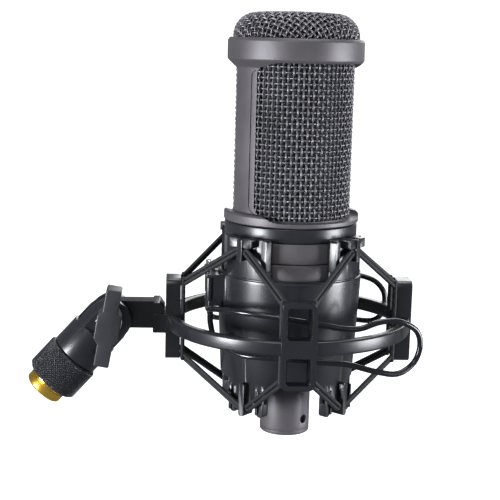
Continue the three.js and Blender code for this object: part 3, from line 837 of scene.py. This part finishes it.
def cradle():
    clamp_half("clamp_front_sleeve", -1, "front_clamp_half")
    clamp_half("clamp_rear_sleeve", 1, "rear_clamp_half")
    handle_wire("clamp_front_hairpin", FRONT_HAIRPIN, 1, "rear_clamp", "front_handle_wire")
    handle_wire("clamp_rear_hairpin", REAR_HAIRPIN, -1, "front_clamp", "rear_handle_wire")
    at_hinge = Matrix.Translation((HINGE_X, 0, 0))
    pin = moved(rod(HINGE_ROD_R, BOSS_Z[0] - 0.5, BOSS_Z[1] + 1, 0.3, 32), at_hinge)
    piece(solid(pin), "clamp_hinge_rod", LOOKS["steel"], "cradle_pin", ["hinge_pin"])
    coil = []
    for k in range(SPRING_TURNS * 24 + 1):
        angle = 2 * math.pi * k / 24
        z = BOSS_Z[1] + 0.8 + SPRING_PITCH * k / 24
        coil.append((SPRING_R * math.cos(angle), SPRING_R * math.sin(angle), z))
    spring = solid(moved(sweep(coil, SPRING_WIRE_R, 10), at_hinge))
    piece(spring, "clamp_coil_spring", LOOKS["steel"], "cradle_pin", ["clamp_spring"])


# ---------------------------------------------------------------- suspension ring
def post_loop():
    """A post: a rounded frame with a window above and below the ring, its outer corners well rounded."""
    return slab(rectangle(LOOP_HALF, *LOOP_Z, LOOP_CORNER), -LOOP_R[1], -LOOP_R[0])


def post_windows():
    half = LOOP_HALF - LOOP_BAR
    above = (RING_Z[1] + LOOP_WINDOW_GAP, LOOP_Z[1] - LOOP_BAR)
    below = (LOOP_Z[0] + LOOP_BAR, RING_Z[0] - LOOP_WINDOW_GAP)
    return [slab(rectangle(half, low, high, LOOP_WINDOW_CORNER), -LOOP_R[1] - 2, -LOOP_R[0] + 2)
            for low, high in (above, below)]


def arm_shapes():
    """The bracket's clamp block and saddle, the bar out to the adapter and the eye at its end."""
    outer, inner = BRACKET_X
    foot, top = BRACKET_FOOT_Z, RING_Z[1] + 0.2
    arm_foot, arm_top = ARM_Z
    end = PIVOT[0]
    clamp = rounded([(inner, foot), (outer, foot), (outer, top), (inner, top)], 0.5)
    saddle = rounded([(SADDLE_X, top - 1), (outer, top - 1), (outer, arm_top), (outer + 2.6, arm_top),
                      (SADDLE_X, top + 1.8)], 0.4)
    bar = rounded([(end, arm_foot), (outer + 1, arm_foot), (outer + 1, arm_top), (end, arm_top)], 0.4)
    eye = moved(along_y(rod(TONGUE_R, -ARM_HALF, ARM_HALF, 0.3, 64)), UPRIGHT)
    return (slab(clamp, -BRACKET_HALF, BRACKET_HALF), slab(saddle, -BRACKET_HALF + 0.8, BRACKET_HALF - 0.8),
            slab(bar, -ARM_HALF, ARM_HALF), eye)


def bolt_bore():
    """The hole that the pivot bolt passes through, about the pivot."""
    return along_y(rod(BOLT_R + GAP, *ACROSS, 0, 48))


def suspension_ring():
    (inner, outer), (foot, top) = RING_R, RING_Z
    ring = rounded([(inner, foot), (outer, foot), (outer, top), (inner, top)], 0.9, 5)
    obj = solid(lathe(ring, 240))
    join(obj, *[facing(post_loop(), degrees) for degrees in POSTS.values()])
    for degrees in POSTS.values():
        cut(obj, *[facing(window, degrees) for window in post_windows()])
    join(obj, *arm_shapes())
    near_eye = block((PIVOT[0] - 1, PIVOT[0] + 4), (-9, 9), (PIVOT[2] + TONGUE_R - 1, 70))
    cut(obj, near_eye, moved(bolt_bore(), UPRIGHT))
    soften(obj, 0.45, 3)
    nodes = ["suspension_ring"] + [f"{part}_post_{name}" for part in ("upper", "lower") for name in POSTS]
    piece(obj, "suspension_ring_moulding", LOOKS["plastic"], "ring", nodes)


def strand_half(start, end, outward):
    """Half of one elastic leg: two strands side by side that meet in a bend at the end they hook over."""
    start, end = Vector(start), Vector(end)
    along = (end - start).normalized()
    side = along.cross(Vector(outward)).normalized() * (STRAND_GAP / 2)
    path = [start - side + (end - start) * k / 8 for k in range(9)]
    for k in range(1, 8):
        turn = math.pi * k / 8
        path.append(end - side * math.cos(turn) + along * (STRAND_GAP / 2) * math.sin(turn))
    path += [start + side + (end - start) * k / 8 for k in range(8, -1, -1)]
    return sweep([tuple(p) for p in path], STRAND_R, 12)


def elastic_leg(level, number, degrees, side):
    """One leg in two halves: one from its middle to the hook on the ear, one from its middle to the post."""
    hook, corner = LEGS[level]
    start = facing_point(hook[0] * side, hook[1], hook[2], degrees + CRADLE_TURN)
    end = facing_point(-corner[0] * side, corner[1], corner[2], degrees + 45 * side)
    middle = (start + end) / 2
    node = f"{level}_cord_{number}"
    clamp = "front_clamp" if abs(degrees) < 90 else "rear_clamp"
    outward = (middle[0], middle[1], 0)
    for half, tip, bodies in (("hook", start, ("cradle_pin", clamp)), ("post", end, ("cradle_pin", "ring"))):
        obj = solid(strand_half(middle, tip, outward))
        name = f"elastic_{level}_{number}_{half}"
        piece(obj, name, LOOKS["elastic"], None, [node], 80)
        if half == "hook":
            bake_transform(obj)
        else:
            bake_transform(obj)


def elastic_legs():
    """Eight legs above and eight below: each hook on an ear is tied to the posts on both sides of it."""
    for level in LEGS:
        for ear, degrees in enumerate(EARS):
            elastic_leg(level, 2 * ear + 1, degrees, -1)
            elastic_leg(level, 2 * ear + 2, degrees, 1)


def post_runs():
    """The elastic also runs down the inner face of each post, from the upper legs to the lower ones."""
    for name, degrees in POSTS.items():
        for side in (-1, 1):
            spots = [facing_point(RUN_SIDE * side, LOOP_R[0] - 1, z, degrees) for z in RUN_HEIGHTS]
            top, middle, foot = spots
            outward = facing_point(0, 1, 0, degrees)
            run = solid(together([strand_half(middle, top, outward), strand_half(middle, foot, outward)]))
            hand = "left" if side < 0 else "right"
            piece(run, f"elastic_run_{name}_{hand}", LOOKS["elastic"], "ring", (), 80)


# ---------------------------------------------------------------- swivel adapter
def adapter_body():
    side = [(math.cos(a) * CHEEK_R, math.sin(a) * CHEEK_R) for a in np.linspace(0, math.pi, 25)]
    wide = ADAPTER_R + 1
    side += [(-wide, SLOT_FLOOR - 1), (-wide, ADAPTER_END), (wide, ADAPTER_END), (wide, SLOT_FLOOR - 1)]
    turned = [(0, ADAPTER_END, 0), (ADAPTER_R, ADAPTER_END), (ADAPTER_R, CHEEK_R), (0, CHEEK_R, 0)]
    obj = solid(moved(lathe(rounded(turned, 0.5), 120), STAND))
    common(obj, moved(slab(side, -wide, wide), STAND))
    top = ACROSS[1]
    tools = [block(ACROSS, (-CHEEK_Y[0], CHEEK_Y[0]), (SLOT_FLOOR, top))]
    for way in (-1, 1):
        middle = way * CHEEK_FLAT_MIDDLE
        flat = (middle - CHEEK_FLAT_HALF, middle + CHEEK_FLAT_HALF)
        tools.append(block(ACROSS, flat, (SLOT_FLOOR + 1, top)))
    tools.append(bolt_bore())
    cut(obj, *[moved(tool, STAND) for tool in tools])
    soften(obj, 0.35, 3)
    piece(obj, "adapter_yoke", LOOKS["plastic"], "stand_adapter", ["adapter_body"])


def knurled_socket():
    """A turned sleeve whose outside carries two crossing sets of fine helical grooves."""
    low, high = SOCKET_Z
    around, rows = 560, 110
    profile = [(SOCKET_BORE_R, low), (SOCKET_R - 1.1, low)]
    heights = np.linspace(low + 1.0, high - 0.9, rows)
    profile += [(SOCKET_R - 0.1, z) for z in heights] + [(SOCKET_R - 0.9, high), (SOCKET_BORE_R, high)]
    vertices, faces = lathe(profile, around)
    r = np.hypot(vertices[:, 0], vertices[:, 1])
    angle = np.arctan2(vertices[:, 1], vertices[:, 0])
    twist = vertices[:, 2] / SOCKET_R
    one_way = np.abs(np.sin((angle + twist) * KNURL_STARTS / 2))
    other_way = np.abs(np.sin((angle - twist) * KNURL_STARTS / 2))
    groove = np.minimum(one_way, other_way)
    lift = np.where(r > SOCKET_R - 0.3, KNURL_DEPTH * (np.minimum(groove * 1.6, 1) - 0.9), 0)
    scale = (r + lift) / r
    vertices = np.stack([vertices[:, 0] * scale, vertices[:, 1] * scale, vertices[:, 2]], axis=1)
    obj = solid(moved((vertices, faces), STAND))
    piece(obj, "socket_knurled_sleeve", LOOKS["plastic"], "stand_adapter", ["knurled_socket"], 60)


def thread_insert():
    """The brass bush: a plain lip, a fine outside thread, a coarser inside one and a driver slot."""
    low, high = THREAD_Z
    inner, outer = THREAD_R
    lip, groove = outer - 0.1, outer - 0.5
    profile = [(inner + 0.5, low), (outer - 0.7, low, 0.1), (lip, low + 0.6, 0.2), (lip, low + 3.4, 0.1),
               (groove, low + 3.6, 0.1), (groove, low + 4.0, 0.1), (lip, low + 4.2, 0.1)]
    z = low + 5
    while z < high - OUTER_PITCH:
        profile += [(outer, z + 0.3, 0.1), (outer, z + 0.45, 0.1), (outer - 0.4, z + 0.87, 0.1)]
        z += OUTER_PITCH
    profile += [(outer - 0.4, high), (inner, high)]
    z = high - 0.8
    while z > low + INNER_PITCH:
        profile += [(inner, z), (inner + 0.6, z - INNER_PITCH / 2)]
        z -= INNER_PITCH
    obj = solid(moved(lathe(rounded(profile, 0), 120), STAND))
    half, depth = SCREW_SLOT
    cut(obj, moved(block(ACROSS, (-half, half), (low - 1, low + depth)), STAND))
    piece(obj, "insert_threaded_bush", LOOKS["brass"], "stand_adapter", ["thread_insert"], 30)


def tee_screw():
    """The T-handle and its bolt, with the washer under the handle and the nut on the far side."""
    limb, hub = HANDLE_LIMB, HANDLE_HUB
    hub_z, limb_z = HANDLE_HUB_Z
    side = [(limb, -HANDLE_HALF, 0.6), (limb, -limb_z, 1), (hub, -hub_z, 0.8), (hub, hub_z, 0.8),
            (limb, limb_z, 1), (limb, HANDLE_HALF, 0.6)]
    outline = rounded(side + [(-x, -z, r) for x, z, r in side])
    lean = UPRIGHT @ Matrix.Rotation(math.radians(HANDLE_LEAN), 4, "Y")
    obj = solid(moved(slab(outline, *HANDLE_Y), lean))
    soften(obj, 0.5, 3)
    piece(obj, "tee_handle_moulding", LOOKS["handle"], "tee_screw", ["tee_handle"])
    cheek = CHEEK_Y[1]
    under_handle = -HANDLE_Y[1] - GAP
    bolt = moved(along_y(rod(BOLT_R, -cheek - 4.6, under_handle, 0.4, 48)), UPRIGHT)
    piece(solid(bolt), "pivot_bolt_shank", LOOKS["steel"], "tee_screw", ["pivot_bolt"])
    washer = moved(along_y(sleeve(BOLT_R + GAP, WASHER_R, cheek + GAP, under_handle, 0.3, 64)), UPRIGHT)
    piece(solid(washer), "pivot_flat_washer", LOOKS["steel"], "stand_adapter", ["pivot_washer"])
    hexagon = [(0, -cheek - NUT_END), (NUT_R, -cheek - NUT_END), (NUT_R, -cheek - GAP), (0, -cheek - GAP)]
    nut = solid(moved(along_y(lathe(hexagon, 6)), UPRIGHT))
    cut(nut, moved(bolt_bore(), UPRIGHT))
    soften(nut, 0.3)
    piece(nut, "pivot_hex_nut", LOOKS["steel"], "stand_adapter", ["pivot_nut"])


# ---------------------------------------------------------------- finishes on the CAD pieces in view
def finish_cad_pieces():
    slots = {entry["node"]: entry["material_slot"] for entry in frame["record"]["subparts"]}
    for name, obj in frame["nodes"].items():
        obj.data.materials.clear()
        obj.data.materials.append(LOOKS[slots[name]])


# ---------------------------------------------------------------- studio
CAMERA_AZIMUTH = -3.56
CAMERA_ELEVATION = 10.11
CAMERA_ROLL = 1.52
CAMERA_DISTANCE = 473.8
CAMERA_SIDE = -15.5
CAMERA_HEIGHT = 72
CAMERA_LENS = 87.4
LIGHT_AIM_Z = 80
FLOOR_DROP = 300
FLOOR_R = 900
FLOOR_BEND = 600
FLOOR_THICK = 10
WALL_TOP = 1800


def camera():
    turn, tilt, roll = (math.radians(v) for v in (CAMERA_AZIMUTH, CAMERA_ELEVATION, CAMERA_ROLL))
    back = Vector((math.sin(turn) * math.cos(tilt), -math.cos(turn) * math.cos(tilt), math.sin(tilt)))
    right = (-back).cross(Vector((0, 0, 1))).normalized()
    up = right.cross(-back)
    centre = right * CAMERA_SIDE + Vector((0, 0, CAMERA_HEIGHT)) + back * CAMERA_DISTANCE
    x = right * math.cos(roll) + up * math.sin(roll)
    y = up * math.cos(roll) - right * math.sin(roll)
    data = bpy.data.cameras.new("camera")
    data.lens = CAMERA_LENS
    data.sensor_width = 36
    data.clip_start = 0.01
    obj = bpy.data.objects.new("camera", data)
    obj.matrix_world = Matrix.Translation(AXIS + centre * MM) @ Matrix((x, y, back)).transposed().to_4x4()
    bpy.context.scene.collection.objects.link(obj)
    bpy.context.scene.camera = obj


def light(name, place, size, power, colour=(1, 1, 1)):
    """A square lamp, placed from the microphone's middle. Its place and size are in metres."""
    data = bpy.data.lights.new(name, "AREA")
    data.size = size
    data.energy = power
    data.color = colour
    obj = bpy.data.objects.new(name, data)
    aim = AXIS + Vector((0, 0, LIGHT_AIM_Z)) * MM
    obj.location = aim + Vector(place)
    obj.rotation_euler = (aim - obj.location).to_track_quat("-Z", "Y").to_euler()
    bpy.context.scene.collection.objects.link(obj)


def floor_bowl():
    """A pale floor that turns up into a wall, well below the microphone so that no pose reaches it."""
    corner = [(FLOOR_R + FLOOR_BEND * math.sin(a), FLOOR_BEND - FLOOR_BEND * math.cos(a))
              for a in np.linspace(0.1, math.pi / 2, 12)]
    wall = FLOOR_R + FLOOR_BEND
    outside = wall + FLOOR_THICK
    profile = [(0, 0), (FLOOR_R, 0)] + corner + [(wall, WALL_TOP), (outside, WALL_TOP)]
    profile += [(outside, -FLOOR_THICK), (0, -FLOOR_THICK)]
    floor = solid(lathe(profile, 96), "floor")
    floor.location = (0, 0, CAD_BOX[0][2] - AXIS.z - FLOOR_DROP * MM)
    pale = surface("floor_pale", grey(0.80), grey(0.82), roughness=(0.6, 0.7), grain_scale=300,
                   grain=(0.03, 0.05), Emission_Color=(0.95, 0.96, 1.0, 1), Emission_Strength=0.7)
    floor.data.materials.append(pale)
    floor.visible_diffuse = False
    floor.visible_glossy = False
    floor.visible_shadow = False
    floor.data.polygons.foreach_set("use_smooth", [True] * len(floor.data.polygons))


def studio():
    camera()
    light("left", (-0.85, -0.5, -0.06), 0.3, 16, (0.94, 0.96, 1.0))
    light("right", (0.95, -0.26, -0.06), 0.45, 15, (0.93, 0.95, 1.0))
    light("front", (-0.3, -0.75, 0.65), 0.45, 3.2)
    light("top", (0.1, 0.2, 0.95), 0.6, 6)
    light("back", (0.3, 0.9, 0.4), 0.7, 5)
    world = bpy.data.worlds.new("studio")
    world.use_nodes = True
    background = world.node_tree.nodes["Background"]
    background.inputs["Color"].default_value = (0.97, 0.98, 1.0, 1)
    background.inputs["Strength"].default_value = 0.22
    bpy.context.scene.world = world
    bpy.context.scene.view_settings.view_transform = "Standard"
    floor_bowl()


grille_frame()
side_mesh()
dome_mesh()
housing()
connector()
cradle()
suspension_ring()
elastic_legs()
post_runs()
adapter_body()
knurled_socket()
thread_insert()
tee_screw()
finish_cad_pieces()
studio()
